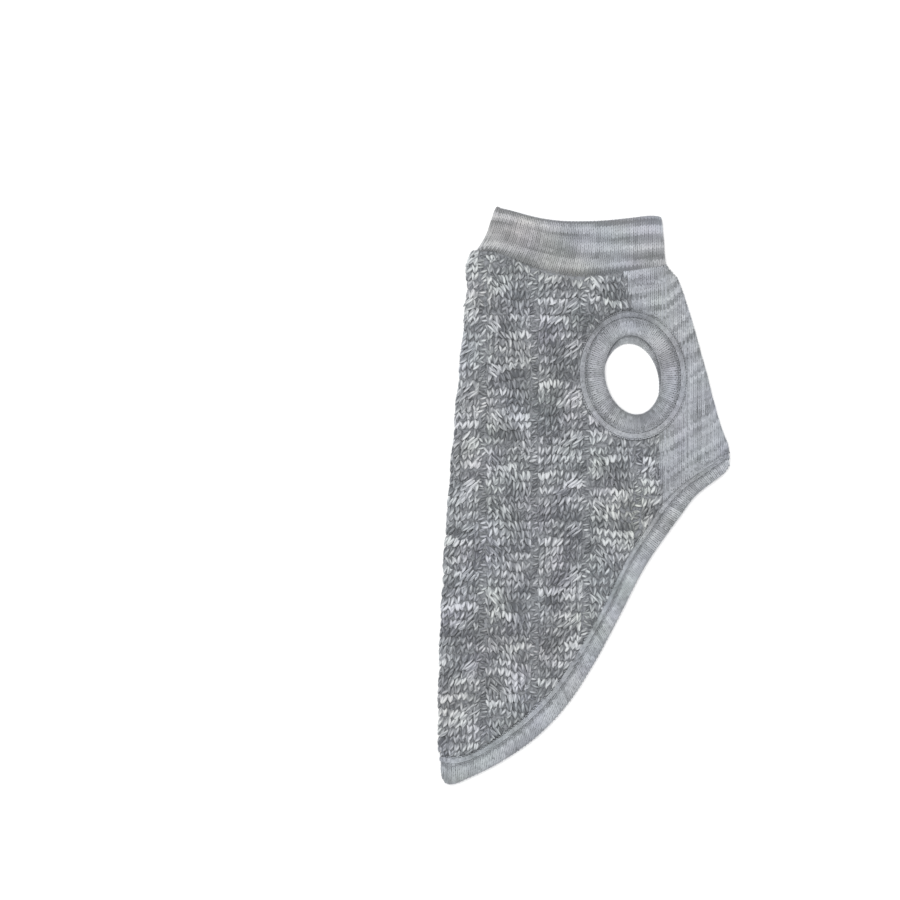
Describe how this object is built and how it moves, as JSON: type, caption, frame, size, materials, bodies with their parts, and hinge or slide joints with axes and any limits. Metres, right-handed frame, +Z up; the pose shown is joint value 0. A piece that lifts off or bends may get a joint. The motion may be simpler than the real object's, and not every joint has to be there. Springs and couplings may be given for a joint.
{
  "type": "dog sweater",
  "caption": "Knitted dog sweater lying flat on its side: cable-knit back, ribbed chest, collar, armhole and hem bands.",
  "frame": {"origin": "on the surface, under the middle of the garment's box as it lies on its side", "axes": "+Z up from the surface, +Y from the tail towards the collar, +X from the spine fold towards the belly fold"},
  "size_m": [0.1814, 0.3578, 0.0074],
  "materials": {
    "cable_knit": "chunky cable knit in a heather yarn of white, mid grey and dark blue-grey, matt and slightly fuzzy",
    "rib_knit": "fine 1x1 rib knit in a space-dyed light blue-grey yarn, matt, with soft uneven stripes"
  },
  "bodies": {
    "root": {"back_panel": "cable_knit", "chest_panel": "rib_knit", "collar": "rib_knit", "hem_band_back": "rib_knit", "hem_band_chest": "rib_knit", "armhole_band_near": "rib_knit", "armhole_band_far": "rib_knit"}
  },
  "joints": []
}
